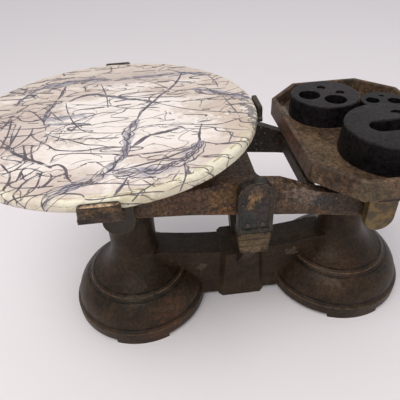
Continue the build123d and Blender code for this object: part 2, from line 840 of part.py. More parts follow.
# Large weight: a finger slot across its middle and one adjusting plug
large_x = right_x + large_weight_x
large_top = weight_z + large_weight_height
plug_angle = radians(large_plug_turn)
plug_x = large_x + large_plug_reach * cos(plug_angle)
plug_y = large_weight_y + large_plug_reach * sin(plug_angle)
with BuildPart() as large_weight:
    with BuildSketch(Plane.XY.offset(weight_z)):
        with Locations((large_x, large_weight_y)):
            Circle(large_weight_foot)
    with BuildSketch(Plane.XY.offset(large_top)):
        with Locations((large_x, large_weight_y)):
            Circle(large_weight_top)
    loft()
    with BuildSketch(Plane.XY.offset(large_top)):
        with Locations((large_x, large_weight_y)):
            SlotOverall(2 * slot_half_length, 2 * slot_half_width)
    extrude(amount=-slot_depth, mode=Mode.SUBTRACT)
    fillet(large_weight.edges().group_by(Axis.Z)[-1], weight_edge_round)
    with BuildSketch(Plane.XY.offset(large_top)):
        with Locations((plug_x, plug_y)):
            Circle(large_plug_radius)
    extrude(amount=-plug_depth, mode=Mode.SUBTRACT)
pieces["large_weight"] = large_weight

with BuildPart() as large_weight_plug:
    with BuildSketch(Plane.XY.offset(large_top - plug_depth)):
        with Locations((plug_x, plug_y)):
            Circle(large_plug_radius - thread_fit)
    extrude(amount=plug_depth - plug_drop)
pieces["large_weight_plug"] = large_weight_plug

# Smaller weights: two finger holes and two adjusting plugs each
for name, size in small_weights.items():
    centre_x = right_x + size["x"]
    top = weight_z + size["height"]
    with BuildPart() as weight:
        with BuildSketch(Plane.XY.offset(weight_z)):
            with Locations((centre_x, size["y"])):
                Circle(size["foot"])
        with BuildSketch(Plane.XY.offset(top)):
            with Locations((centre_x, size["y"])):
                Circle(size["top"])
        loft()
        fillet(weight.edges().group_by(Axis.Z)[-1], weight_edge_round)
        for kind, depth in (("hole", size["hole_depth"]), ("plug", plug_depth)):
            with BuildSketch(Plane.XY.offset(top)):
                with Locations((centre_x, size["y"])):
                    for turn in size[f"{kind}_turns"]:
                        with PolarLocations(size[f"{kind}_reach"], 1, turn):
                            Circle(size[kind])
            extrude(amount=-depth, mode=Mode.SUBTRACT)
    pieces[name] = weight

    with BuildPart() as plugs:
        with BuildSketch(Plane.XY.offset(top - plug_depth)):
            with Locations((centre_x, size["y"])):
                for turn in size["plug_turns"]:
                    with PolarLocations(size["plug_reach"], 1, turn):
                        Circle(size["plug"] - thread_fit)
        extrude(amount=plug_depth - plug_drop)
    pieces[f"{name}_plugs"] = plugs

os.makedirs("parts", exist_ok=True)
for label, piece in pieces.items():
    piece.part.label = label
    export_step(piece.part, f"parts/{label}.step")
print(f"{len(pieces)} pieces, fulcrum at x = {fulcrum_x:.3f}")
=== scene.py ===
import json
import bpy
import numpy as np
from math import cos, radians, sin
from mathutils import Matrix, Vector


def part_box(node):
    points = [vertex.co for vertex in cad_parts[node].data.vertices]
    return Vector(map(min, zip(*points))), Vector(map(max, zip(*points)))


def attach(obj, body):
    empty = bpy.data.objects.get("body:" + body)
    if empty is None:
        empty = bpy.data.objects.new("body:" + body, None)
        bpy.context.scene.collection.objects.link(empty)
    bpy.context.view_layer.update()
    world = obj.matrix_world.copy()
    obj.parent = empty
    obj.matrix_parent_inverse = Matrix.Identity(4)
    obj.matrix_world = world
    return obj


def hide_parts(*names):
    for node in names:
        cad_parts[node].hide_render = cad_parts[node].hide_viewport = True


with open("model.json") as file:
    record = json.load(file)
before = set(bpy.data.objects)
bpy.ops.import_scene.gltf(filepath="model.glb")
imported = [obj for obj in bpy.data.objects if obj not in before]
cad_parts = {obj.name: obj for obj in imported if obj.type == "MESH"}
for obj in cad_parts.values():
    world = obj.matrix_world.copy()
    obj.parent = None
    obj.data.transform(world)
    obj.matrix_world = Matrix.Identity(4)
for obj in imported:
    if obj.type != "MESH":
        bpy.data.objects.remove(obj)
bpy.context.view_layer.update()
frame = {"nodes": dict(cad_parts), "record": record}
cad = frame["nodes"]
mm = 0.001
print("frame:", len(cad), "pieces")

# View of the photograph: the camera looks down on the front of the scale and is rolled slightly
shot = {
    "place": (-0.0449, -0.3811, 0.4398), "yaw": 4.50, "pitch": 37.54, "roll": -3.12, "lens": 36.68,
    "sensor": 36.0, "pictureSide": 400.0,
}


def cameraTurn():
    yaw, pitch = radians(shot["yaw"]), radians(shot["pitch"])
    forward = Vector((sin(yaw) * cos(pitch), cos(yaw) * cos(pitch), -sin(pitch)))
    right = Vector((cos(yaw), -sin(yaw), 0))
    level = Matrix((right, right.cross(forward), -forward)).transposed()
    return level @ Matrix.Rotation(radians(shot["roll"]), 3, "Z")


# Where the lines of sight through the photograph's pixels meet the level plane at a height
def onLevel(pixels, height):
    pixels = np.asarray(pixels, float)
    half = shot["pictureSide"] / 2
    focal = shot["lens"] / shot["sensor"] * shot["pictureSide"]
    rays = np.stack((pixels[:, 0] - half, half - pixels[:, 1], np.full(len(pixels), -focal)), 1)
    rays = rays @ np.array(cameraTurn()).T
    start = np.array(shot["place"])
    return (start + rays * ((height - start[2]) / rays[:, 2])[:, None])[:, :2]


# Numbers and meshes


# A colour given as it looks on a screen, 0 to 255, as the light values that the shaders take
def tone(red, green, blue):
    return tuple(((c / 255 + 0.055) / 1.055) ** 2.4 for c in (red, green, blue)) + (1.0,)


# Smooth unevenness: waves in random directions added up, about -1 to 1
def lumps(places, size, seed, waves=28):
    random = np.random.default_rng(seed)
    turns = random.normal(0, 2 * np.pi / size, (waves, 3))
    starts = random.uniform(0, 2 * np.pi, waves)
    return np.sin(places @ turns.T + starts).sum(axis=1) / np.sqrt(waves)


def meshPoints(mesh):
    points = np.empty(3 * len(mesh.vertices))
    mesh.vertices.foreach_get("co", points)
    return points.reshape(-1, 3)


def newPiece(name, mesh, body):
    piece = bpy.data.objects.new(name, mesh)
    bpy.context.scene.collection.objects.link(piece)
    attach(piece, body)
    return piece


# Surface of a profile (radius, height) turned round an upright axis, closed at both ends by a pole
def turnedMesh(name, profile, segments, centre):
    turn = np.arange(segments) * 2 * np.pi / segments
    ring = np.stack((np.cos(turn), np.sin(turn)), 1)
    inner = np.asarray(profile[1:-1])
    places = np.empty((len(inner), segments, 3))
    places[:, :, :2] = inner[:, 0, None, None] * ring
    places[:, :, 2] = inner[:, 1, None]
    poles = np.array([(0, 0, profile[0][1]), (0, 0, profile[-1][1])])
    places = np.concatenate((places.reshape(-1, 3), poles)) + (centre[0], centre[1], 0)
    here = np.arange(segments)
    after = (here + 1) % segments
    start = np.arange(len(inner) - 1)[:, None] * segments
    quads = np.stack((start + here, start + segments + here, start + segments + after, start + after), 2)
    last = (len(inner) - 1) * segments
    firstPole = np.full(segments, len(places) - 2)
    lastPole = np.full(segments, len(places) - 1)
    caps = [np.stack((firstPole, here, after), 1), np.stack((last + here, lastPole, last + after), 1)]
    mesh = bpy.data.meshes.new(name)
    faces = quads.reshape(-1, 4).tolist() + caps[0].tolist() + caps[1].tolist()
    mesh.from_pydata(places, [], faces)
    mesh.shade_smooth()
    return mesh


# Node helpers


# Sockets given as values are linked to the node's inputs, anything else is set on them
def fill(tree, made, inputs):
    for key, value in inputs.items():
        if isinstance(value, bpy.types.NodeSocket):
            tree.links.new(value, made.inputs[key])
        else:
            made.inputs[key].default_value = value


# A shader node with its settings and inputs
def add(tree, kind, inputs=None, **settings):
    made = tree.nodes.new("ShaderNode" + kind)
    for key, value in settings.items():
        setattr(made, key, value)
    fill(tree, made, inputs or {})
    return made


def useGroup(tree, group, inputs):
    made = tree.nodes.new("ShaderNodeGroup")
    made.node_tree = group
    fill(tree, made, inputs)
    return made.outputs


def calc(tree, operation, a, b=0.0, c=0.0):
    return add(tree, "Math", {0: a, 1: b, 2: c}, operation=operation).outputs[0]


# Product of two or more values
def times(tree, *values):
    product = values[0]
    for value in values[1:]:
        product = calc(tree, "MULTIPLY", product, value)
    return product


def vectorCalc(tree, operation, a, b):
    return add(tree, "VectorMath", {0: a, 1: b}, operation=operation).outputs[0]


def length(tree, vector):
    return add(tree, "VectorMath", {0: vector}, operation="LENGTH").outputs["Value"]


# X, Y and Z of a vector
def apart(tree, vector):
    return add(tree, "SeparateXYZ", {0: vector}).outputs


def mix(tree, mask, below, above, mode="MIX"):
    return add(tree, "Mix", {0: mask, 6: below, 7: above}, data_type="RGBA", blend_type=mode).outputs[2]


# A value eased from low to high into bottom to top
def ease(tree, value, low, high, bottom=0.0, top=1.0):
    inputs = {"Value": value, "From Min": low, "From Max": high, "To Min": bottom, "To Max": top}
    return add(tree, "MapRange", inputs, interpolation_type="SMOOTHSTEP").outputs["Result"]


# Noise of about 0 to 1 with so many waves per metre
def noise(tree, place, scale, detail=4.0, rough=0.55, distortion=0.0):
    inputs = {
        "Vector": place, "Scale": scale, "Detail": detail, "Roughness": rough, "Distortion": distortion,
    }
    return add(tree, "TexNoise", inputs).outputs["Fac"]


# A place stretched and moved, so that a pattern runs along it or starts elsewhere
def shifted(tree, place, scale=(1, 1, 1), move=(0, 0, 0)):
    return add(tree, "Mapping", {"Vector": place, "Scale": scale, "Location": move}).outputs[0]


# A new node group with its inputs and outputs
def newGroup(name, inputs, outputs):
    tree = bpy.data.node_groups.new(name, "ShaderNodeTree")
    for label, kind, value in inputs:
        socket = tree.interface.new_socket(label, in_out="INPUT", socket_type="NodeSocket" + kind)
        if value is not None:
            socket.default_value = value
    for label, kind in outputs:
        tree.interface.new_socket(label, in_out="OUTPUT", socket_type="NodeSocket" + kind)
    enter = tree.nodes.new("NodeGroupInput").outputs
    leave = tree.nodes.new("NodeGroupOutput").inputs
    return tree, enter, leave


# Shared effects


# Sand-cast skin: low and middle lumps, fine grain and scattered round pits, as a height of about 0 to 1
def castSkinGroup():
    inputs = [
        ("Place", "Vector", None), ("Lumps", "Float", 60.0), ("Grain", "Float", 700.0),
        ("Pits", "Float", 0.5),
    ]
    tree, enter, leave = newGroup("castSkin", inputs, [("Height", "Float"), ("Pits", "Float")])
    place, fineness = enter["Place"], enter["Grain"]
    low = noise(tree, place, enter["Lumps"], 3.0)
    middle = noise(tree, place, 240.0, 4.0, 0.6)
    grain = noise(tree, place, fineness, 5.0, 0.65)
    cells = add(tree, "TexVoronoi", {"Vector": place, "Scale": times(tree, fineness, 0.4)})
    where = ease(tree, noise(tree, place, 40.0, 5.0), 0.46, 0.6)
    pits = times(tree, ease(tree, cells.outputs["Distance"], 0.32, 0.08), where, enter["Pits"])
    height = calc(tree, "ADD", times(tree, low, 0.3), times(tree, grain, 0.3))
    height = calc(tree, "ADD", height, times(tree, middle, 0.35))
    tree.links.new(calc(tree, "SUBTRACT", height, times(tree, pits, 0.5)), leave["Height"])
    tree.links.new(pits, leave["Pits"])
    return tree


# Ragged stains: noise of several sizes, cut at a level that leaves the wanted share covered
def stainGroup():
    inputs = [
        ("Place", "Vector", None), ("Scale", "Float", 20.0), ("Cover", "Float", 0.5),
        ("Soft", "Float", 0.08), ("Start", "Vector", (0.0, 0.0, 0.0)),
    ]
    tree, enter, leave = newGroup("stain", inputs, [("Mask", "Float")])
    place = vectorCalc(tree, "ADD", enter["Place"], enter["Start"])
    field = noise(tree, place, enter["Scale"], 9.0, 0.66, 0.3)
    level = calc(tree, "SUBTRACT", 0.72, times(tree, enter["Cover"], 0.44))
    low = calc(tree, "SUBTRACT", level, enter["Soft"])
    high = calc(tree, "ADD", level, enter["Soft"])
    tree.links.new(ease(tree, field, low, high), leave["Mask"])
    return tree


# One patch round a centre: distance over the size, made ragged by noise
def patchGroup():
    inputs = [
        ("Place", "Vector", None), ("Centre", "Vector", (0.0, 0.0, 0.0)),
        ("Size", "Vector", (0.02, 0.02, 0.02)), ("Ragged", "Float", 0.5), ("Grain", "Float", 160.0),
    ]
    tree, enter, leave = newGroup("patch", inputs, [("Mask", "Float")])
    away = vectorCalc(tree, "SUBTRACT", enter["Place"], enter["Centre"])
    reach = length(tree, vectorCalc(tree, "DIVIDE", away, enter["Size"]))
    field = calc(tree, "SUBTRACT", noise(tree, enter["Place"], enter["Grain"], 6.0, 0.65), 0.5)
    wobble = times(tree, field, times(tree, enter["Ragged"], 4.0))
    tree.links.new(ease(tree, calc(tree, "ADD", reach, wobble), 1.15, 0.7), leave["Mask"])
    return tree


# Rounded corners in the shading, and a mask of the edges that wear bright
def softEdgeGroup():
    inputs = [("Place", "Vector", None), ("Radius", "Float", 0.001)]
    tree, enter, leave = newGroup("softEdge", inputs, [("Normal", "Vector"), ("Edge", "Float")])
    soft = add(tree, "Bevel", {"Radius": enter["Radius"]}, samples=6).outputs["Normal"]
    hard = add(tree, "NewGeometry").outputs["Normal"]
    same = add(tree, "VectorMath", {0: soft, 1: hard}, operation="DOT_PRODUCT").outputs["Value"]
    broken = ease(tree, noise(tree, enter["Place"], 220.0, 6.0, 0.65), 0.42, 0.58)
    tree.links.new(times(tree, ease(tree, same, 0.985, 0.88), broken), leave["Edge"])
    tree.links.new(soft, leave["Normal"])
    return tree


# Dark strands of a vein and the wash between them, from its attribute: side over half width, length along
# in mm, distance over half width. Each strand wanders across the vein by its own noise of the length along
def veinGroup():
    inputs = [
        ("Vein", "Vector", None), ("Place", "Vector", None), ("Spread", "Float", 0.8),
        ("Thick", "Float", 0.12), ("Wander", "Float", 0.3),
    ]
    tree, enter, leave = newGroup("vein", inputs, [("Wash", "Float"), ("Strands", "Float")])
    parts = apart(tree, enter["Vein"])
    place = enter["Place"]
    drift = calc(tree, "SUBTRACT", noise(tree, place, 150.0, 4.0), 0.5)
    drift = times(tree, drift, times(tree, enter["Wander"], 3.0))
    side = calc(tree, "ADD", parts["X"], drift)
    near = ease(tree, parts["Z"], 2.4, 1.8)
    along = times(tree, parts["Y"], 0.024)
    swing = times(tree, enter["Spread"], 4.2)
    thin = times(tree, enter["Thick"], 0.45)
    strands = 0.0
    for strand in range(7):
        inputs = {"W": calc(tree, "ADD", along, 17.3 * strand), "Scale": 1.0, "Detail": 2.0}
        course = add(tree, "TexNoise", inputs, noise_dimensions="1D").outputs["Fac"]
        centre = times(tree, calc(tree, "SUBTRACT", course, 0.5), swing)
        off = calc(tree, "ABSOLUTE", calc(tree, "SUBTRACT", side, centre))
        strands = calc(tree, "MAXIMUM", strands, ease(tree, off, enter["Thick"], thin))
    wash = ease(tree, calc(tree, "ABSOLUTE", side), 1.05, 0.6)
    patchy = ease(tree, noise(tree, place, 70.0, 5.0), 0.38, 0.6, 0.25, 1.0)
    broken = ease(tree, noise(tree, place, 95.0, 4.0), 0.32, 0.46, 0.35, 1.0)
    tree.links.new(times(tree, wash, patchy, near), leave["Wash"])
    tree.links.new(times(tree, strands, broken, near), leave["Strands"])
    return tree


castSkin = castSkinGroup()
stain = stainGroup()
patch = patchGroup()
softEdge = softEdgeGroup()
vein = veinGroup()


def stainMask(tree, place, scale, cover, soft, start=(0.0, 0.0, 0.0)):
    values = {"Place": place, "Scale": scale, "Cover": cover, "Soft": soft, "Start": start}
    return useGroup(tree, stain, values)["Mask"]


# Mask of a patch, with lengths in mm
def patchMask(tree, place, centre, size, ragged):
    centre = tuple(c * mm for c in centre)
    size = tuple(c * mm for c in size)
    values = {"Place": place, "Centre": centre, "Size": size, "Ragged": ragged}
    return useGroup(tree, patch, values)["Mask"]


# Materials


def newMaterial(name, **plain):
    material = bpy.data.materials.new(name)
    material.use_nodes = True
    tree = material.node_tree
    shader = tree.nodes["Principled BSDF"]
    for key, value in plain.items():
        shader.inputs[key].default_value = value
    place = add(tree, "TexCoord").outputs["Object"]
    return material, tree, shader, place


ironBlend = {
    "base": {
        "dark": tone(30, 23, 16), "brown": tone(58, 44, 30), "rust": tone(74, 48, 32),
        "pale": tone(120, 104, 84), "worn": tone(104, 88, 70),
        "brownCover": 0.6, "rustCover": 0.2, "paleCover": 0.04, "mottle": 0.3,
        "rough": 0.4, "shine": 0.16, "skin": 0.6, "lumps": 60.0, "edge": 0.6 * mm, "edgeWear": 0.6,
    },
    "beam": {
        "dark": tone(32, 25, 18), "brown": tone(84, 65, 48), "rust": tone(106, 72, 46),
        "pale": tone(156, 134, 120), "worn": tone(146, 120, 94),
        "brownCover": 0.62, "rustCover": 0.3, "paleCover": 0.24, "mottle": 0.55,
        "rough": 0.48, "shine": 0.24, "skin": 1.0, "lumps": 80.0, "edge": 1.2 * mm, "edgeWear": 0.85,
    },
    "carrier": {
        "dark": tone(26, 20, 15), "brown": tone(66, 50, 34), "rust": tone(98, 70, 42),
        "pale": tone(132, 110, 82), "worn": tone(140, 116, 90),
        "brownCover": 0.46, "rustCover": 0.26, "paleCover": 0.12, "mottle": 0.55,
        "rough": 0.46, "shine": 0.3, "skin": 1.0, "lumps": 90.0, "edge": 1.2 * mm, "edgeWear": 0.8,
    },
    "tray": {
        "dark": tone(42, 32, 25), "brown": tone(90, 71, 54), "rust": tone(108, 78, 56),
        "pale": tone(150, 132, 116), "worn": tone(158, 130, 104),
        "brownCover": 0.6, "rustCover": 0.32, "paleCover": 0.14, "mottle": 0.45,
        "rough": 0.52, "shine": 0.22, "skin": 0.9, "lumps": 70.0, "edge": 1.3 * mm, "edgeWear": 0.7,
    },
    "cover": {
        "dark": tone(26, 22, 21), "brown": tone(54, 45, 35), "rust": tone(96, 72, 42),
        "pale": tone(118, 108, 84), "worn": tone(150, 126, 86),
        "brownCover": 0.46, "rustCover": 0.18, "paleCover": 0.14, "mottle": 0.55,
        "rough": 0.4, "shine": 0.3, "skin": 0.8, "lumps": 120.0, "edge": 0.7 * mm, "edgeWear": 0.85,
    },
    "weight": {
        "dark": tone(17, 16, 16), "brown": tone(33, 28, 31), "rust": tone(58, 46, 38),
        "pale": tone(110, 106, 102), "worn": tone(104, 98, 94),
        "brownCover": 0.4, "rustCover": 0.1, "paleCover": 0.06, "mottle": 0.5,
        "rough": 0.4, "shine": 0.1, "skin": 0.8, "lumps": 80.0, "edge": 1.0 * mm, "edgeWear": 0.6,
    },
}
# Stains of the iron: waves per metre, softness of the edge and where the noise starts
ironStains = {
    "brown": (48.0, 0.2, (0.0, 0.0, 0.0)),
    "rust": (150.0, 0.1, (3.0, 1.0, 2.0)),
    "pale": (380.0, 0.05, (7.0, 4.0, 1.0)),
    "speck": (900.0, 0.05, (1.0, 8.0, 5.0)),
}
# Patches seen on the pieces: colour, centre and reach in mm, how ragged, how strong
patches = {
    "base": [
        (tone(106, 89, 64), (32, -80, 149), (20, 10, 17), 0.5, 0.75),
        (tone(84, 54, 36), (-66, -80, 14), (30, 20, 12), 0.8, 0.5),
        # painted highlight on the right bell's shoulder
        (tone(104, 88, 70), (138, -66, 47), (9, 10, 6), 1.6, 0.4),
        (tone(72, 52, 38), (150, -50, 52), (44, 40, 24), 0.4, 0.4),
        (tone(110, 98, 84), (98, -19, 65), (6, 6, 6), 1.8, 0.45),
        (tone(110, 98, 84), (-19, -19, 55), (6, 6, 7), 1.8, 0.4),
        # painted shade lines for three grooves on the block under the arch cover, and a painted highlight
        # line above them
        (tone(28, 22, 16), (32, -84, 161), (19, 12, 1.5), 0.12, 0.75),
        (tone(34, 27, 20), (32, -84, 152), (19, 12, 1.3), 0.15, 0.65),
        (tone(38, 30, 22), (32, -84, 143), (19, 12, 1.2), 0.2, 0.5),
        (tone(84, 76, 62), (32, -82, 166), (17, 8, 1.2), 0.2, 0.5),
        (tone(74, 66, 50), (-98, -66, 60), (26, 16, 10), 0.6, 0.5),
        (tone(84, 56, 38), (-60, -70, 36), (26, 24, 12), 0.7, 0.4),
    ],
    "beam": [
        (tone(122, 90, 52), (2, -68, 199), (19, 10, 12), 0.8, 0.6),
        (tone(126, 84, 48), (6, -68, 180), (26, 10, 5), 0.7, 0.55),
        (tone(100, 70, 48), (-40, -68, 196), (28, 10, 12), 0.8, 0.5),
        (tone(132, 114, 104), (87, -68, 194), (18, 10, 13), 1.2, 0.55),
        (tone(52, 58, 60), (104, -68, 182), (12, 10, 7), 0.6, 0.7),
        (tone(44, 36, 30), (130, -68, 178), (30, 12, 14), 0.6, 0.6),
        # painted shade on the inner faces of the rear limb and of the cross bar at the beam's end
        (tone(30, 27, 22), (60, 58, 190), (78, 16, 44), 0.2, 0.85),
        (tone(34, 30, 24), (96, 0, 184), (14, 60, 24), 0.2, 0.7),
    ],
    "carrier": [
        (tone(120, 90, 56), (-105, -150, 261), (4, 5, 3), 1.8, 0.5),
        (tone(120, 90, 56), (-94, -150, 262), (6, 5, 2.4), 1.8, 0.45),
        (tone(104, 84, 64), (-112, -150, 257), (4, 5, 3), 1.6, 0.45),
        # painted highlight along the clip's top edge
        (tone(190, 160, 128), (-98, -149, 264.9), (15, 2.5, 0.8), 0.25, 0.85),
    ],
    "tray": [
        (tone(110, 90, 64), (104, -35, 219), (24, 48, 8), 0.6, 0.5),
        (tone(150, 140, 130), (97, 66, 220), (7, 18, 6), 0.5, 0.85),
        (tone(86, 54, 42), (85, 0, 222), (5, 62, 12), 0.6, 0.6),
        (tone(84, 76, 56), (120, -112, 222), (30, 8, 12), 0.7, 0.5),
    ],
    "cover": [
        (tone(124, 96, 62), (31, -83, 206), (7, 5, 9), 1.6, 0.7),
        (tone(118, 90, 56), (27, -83, 197), (5, 5, 6), 1.6, 0.6),
        (tone(34, 46, 42), (26, -83, 176), (10, 5, 14), 0.5, 0.6),
        (tone(52, 42, 42), (39, -83, 184), (8, 5, 20), 0.5, 0.6),
        (tone(48, 38, 38), (32, -83, 216), (15, 5, 5), 0.4, 0.6),
    ],
    "weight": [
        (tone(52, 42, 48), (165, 40, 246), (60, 60, 5), 0.5, 0.3),
        (tone(50, 45, 46), (177, -45, 249), (52, 52, 3), 0.5, 0.25),
    ],
}
# Upright axes of the two bells along X in mm: the middle between them, and half their distance
bells = {"middle": 32.04, "half": 132.0}
# Rings round the bells' axes, drawn as painted shade in the grooves and painted highlights on the bead and
# the flange edge, and raised or sunk in the bump: radius, height and reach of the line in mm, rise of the
# skin, shade, strength
bellRingShadeAndHighlight = [
    (63.6, 51.6, 2.0, -1.2, tone(16, 13, 10), 0.75),
    (55.8, 58.0, 2.0, -0.8, tone(18, 14, 11), 0.6),
    (60.2, 55.0, 1.2, 0.7, tone(118, 96, 76), 0.5),
    (81.6, 21.6, 2.0, -1.0, tone(16, 13, 10), 0.7),
    (84.4, 17.2, 1.1, 0.6, tone(96, 78, 60), 0.5),
]


# Mask of one ring round both bells, broken by noise: the distance from the ring's line, worked out from a
# place's radius about the bell's axis and its height
def ringMask(tree, place, radius, height, reach):
    parts = apart(tree, place)
    across = calc(tree, "ABSOLUTE", calc(tree, "SUBTRACT", parts["X"], bells["middle"] * mm))
    across = calc(tree, "SUBTRACT", across, bells["half"] * mm)
    out = length(tree, add(tree, "CombineXYZ", {0: across, 1: parts["Y"]}).outputs[0])
    wide = calc(tree, "SUBTRACT", out, radius * mm)
    high = calc(tree, "SUBTRACT", parts["Z"], height * mm)
    off = length(tree, add(tree, "CombineXYZ", {0: wide, 1: high}).outputs[0])
    broken = ease(tree, noise(tree, place, 90.0, 5.0, 0.6), 0.36, 0.56, 0.25, 1.0)
    return times(tree, ease(tree, off, reach * mm, 0.4 * reach * mm), broken)


# Old cast iron in layers: dark skin, brown patina, rust, pale bloom and bright edges, over a sand-cast
# bump. The patches lie over the rust and under the bloom; some of them are painted shade and painted
# highlights. The rings round the bells are painted shade and highlight lines, which also raise and sink the
# bump
def castIron(name, blend, spots, rings=()):
    material, tree, shader, place = newMaterial(name, **{"Specular IOR Level": blend["shine"]})
    skin = useGroup(tree, castSkin, {"Place": place, "Lumps": blend["lumps"], "Pits": 0.8})
    edges = useGroup(tree, softEdge, {"Place": place, "Radius": blend["edge"]})

    def cover(kind, share):
        scale, soft, start = ironStains[kind]
        return stainMask(tree, place, scale, share, soft, start)

    rust = cover("rust", blend["rustCover"])
    colour = mix(tree, cover("brown", blend["brownCover"]), blend["dark"], blend["brown"])
    colour = mix(tree, times(tree, rust, 0.6), colour, blend["rust"])
    for shade, centre, size, ragged, strength in spots:
        mask = patchMask(tree, place, centre, size, ragged)
        colour = mix(tree, times(tree, mask, strength), colour, shade)
    where = noise(tree, shifted(tree, place, move=(4, 9, 2)), 24.0, 4.0)
    bloom = times(tree, cover("pale", blend["paleCover"]), ease(tree, where, 0.44, 0.62, 0.15, 1.0), 0.75)
    colour = mix(tree, bloom, colour, blend["pale"])
    colour = mix(tree, times(tree, cover("speck", 0.4), 0.5), colour, blend["dark"])
    colour = mix(tree, times(tree, skin["Pits"], 0.6), colour, blend["dark"])
    colour = mix(tree, times(tree, edges["Edge"], blend["edgeWear"]), colour, blend["worn"])
    relief = skin["Height"]
    # painted shade and highlight lines round the bells, also raised and sunk in the bump
    for radius, height, reach, rise, shade, strength in rings:
        mask = ringMask(tree, place, radius, height, reach)
        colour = mix(tree, times(tree, mask, strength), colour, shade)
        relief = calc(tree, "ADD", relief, times(tree, mask, rise))
    broad = ease(tree, noise(tree, place, 30.0, 5.0), 0.3, 0.7, 0.78, 1.2)
    fine = noise(tree, shifted(tree, place, move=(6, 1, 3)), 250.0, 5.0, 0.75)
    fine = ease(tree, fine, 0.36, 0.64, 1.0 - blend["mottle"], 1.0 + blend["mottle"])
    mottle = times(tree, broad, fine)
    grey = add(tree, "CombineColor", {0: mottle, 1: mottle, 2: mottle}).outputs["Color"]
    colour = mix(tree, 1.0, colour, grey, "MULTIPLY")
    tree.links.new(colour, shader.inputs["Base Color"])
    rough = calc(tree, "ADD", blend["rough"] - 0.12, times(tree, skin["Height"], 0.24))
    rough = calc(tree, "ADD", rough, times(tree, rust, 0.16))
    tree.links.new(rough, shader.inputs["Roughness"])
    bump = add(tree, "Bump", {
        "Strength": blend["skin"], "Distance": 1.2 * mm, "Height": relief, "Normal": edges["Normal"],
    })
    tree.links.new(bump.outputs["Normal"], shader.inputs["Normal"])
    return material


# Plain metal for the working parts, dulled and lightly stained. Patches darken the faces that look along Y
def dullMetal(name, bare, stained, rough, metallic, darkFaces=()):
    material, tree, shader, place = newMaterial(name)
    mask = stainMask(tree, place, 90.0, 0.5, 0.12)
    fine = noise(tree, place, 500.0, 4.0)
    edges = useGroup(tree, softEdge, {"Place": place, "Radius": 0.5 * mm})
    bright = tuple(min(1.0, 1.8 * c) for c in bare)
    colour = mix(tree, times(tree, mask, 0.8), bare, stained)
    facing = calc(tree, "ABSOLUTE", apart(tree, add(tree, "NewGeometry").outputs["Normal"])["Y"])
    for shade, centre, size, ragged, strength in darkFaces:
        level = ease(tree, facing, 0.8, 0.97, 0.1, strength)
        colour = mix(tree, times(tree, patchMask(tree, place, centre, size, ragged), level), colour, shade)
    colour = mix(tree, times(tree, edges["Edge"], 0.5), colour, bright)
    tree.links.new(colour, shader.inputs["Base Color"])
    metal = calc(tree, "SUBTRACT", metallic, times(tree, mask, metallic * 0.6))
    tree.links.new(metal, shader.inputs["Metallic"])
    tree.links.new(calc(tree, "ADD", rough, times(tree, fine, 0.2)), shader.inputs["Roughness"])
    bump = add(tree, "Bump", {
        "Strength": 0.3, "Distance": 0.4 * mm, "Height": fine, "Normal": edges["Normal"],
    })
    tree.links.new(bump.outputs["Normal"], shader.inputs["Normal"])
    return material


# Darker faces of the two goods-side end caps, as a patch at the front and one at the rear
capDarkFaces = [(tone(40, 32, 24), (-99, way * 82, 200), (24, 8, 34), 0.1, 0.95) for way in (-1, 1)]
finishes = {
    "cap_brass": dullMetal("capBrass", tone(122, 100, 62), tone(48, 38, 26), 0.36, 0.6, capDarkFaces),
    "steel": dullMetal("workingSteel", tone(76, 72, 68), tone(58, 44, 34), 0.36, 0.8),
    "lead": dullMetal("lead", tone(62, 62, 63), tone(48, 46, 43), 0.55, 0.3),
}
for kind, blend in ironBlend.items():
    rings = bellRingShadeAndHighlight if kind == "base" else ()
    finishes[f"{kind}_iron"] = castIron(f"{kind}Iron", blend, patches[kind], rings)


# Marble plate

stone = {
    "light": tone(232, 223, 216), "pink": tone(206, 191, 180), "tan": tone(172, 153, 138),
    "cream": tone(222, 216, 194), "dirt": tone(150, 118, 66), "brown": tone(112, 88, 62),
    "wash": tone(152, 149, 161), "ink": tone(60, 56, 68), "brownInk": tone(78, 68, 76),
    "rough": 0.4, "shine": 0.42,
    # the palest place: its middle as seen from the plate's, and one over its reach, in metres
    "heart": (10 * mm, -35 * mm, 0.0), "heartReach": (9.0, 11.0, 0.0),
    # stains of the rim: waves per metre, share covered, shade, strength
    "rimStains": [(55.0, 0.34, tone(178, 168, 124), 0.5), (160.0, 0.06, tone(112, 88, 62), 0.6)],
    # shade, pixel of the photograph, reach in mm, how ragged, how strong
    "clouds": [
        (tone(186, 166, 148), (212, 112), (38, 26, 20), 0.7, 0.55),
        (tone(180, 160, 150), (14, 140), (44, 60, 20), 0.6, 0.6),
        # painted shade over the far side of the top
        (tone(178, 164, 158), (130, 82), (95, 22, 20), 0.5, 0.5),
        (tone(184, 162, 142), (238, 130), (20, 34, 20), 0.7, 0.6),
        (tone(196, 176, 166), (58, 196), (46, 16, 20), 0.7, 0.5),
        (tone(190, 172, 160), (34, 112), (34, 24, 20), 0.7, 0.5),
        (tone(84, 82, 92), (250, 116), (5, 34, 20), 1.6, 0.75),
        (tone(172, 152, 132), (76, 147), (18, 10, 20), 1.2, 0.4),
        (tone(150, 150, 162), (66, 123), (26, 7, 20), 0.6, 0.75),
        (tone(176, 158, 134), (178, 192), (40, 12, 20), 1.2, 0.4),
    ],
    # fine lines by attribute: half width in mm, least weight that shows, strength
    "lines": {
        "threads": (0.8, 0.3, 0.9), "hairs": (0.55, 0.4, 0.85), "network": (0.62, 0.42, 0.85),
        "leftNetwork": (0.7, 0.3, 0.85),
    },
    # veins by attribute: strength of the wash and of the strands, spread and thickness of these, wander
    "veins": {
        "bundles": (0.85, 0.95, 1.15, 0.115, 0.1), "strokes": (0.8, 0.95, 1.0, 0.3, 0.2),
        "lines": (0.3, 0.95, 0.3, 1.2, 0.3), "crossings": (0.3, 0.95, 0.3, 1.2, 0.3),
        "net": (0.5, 0.95, 0.6, 1.0, 0.4),
    },
}


def attributeOf(tree, name):
    return add(tree, "Attribute", attribute_name=name).outputs["Vector"]
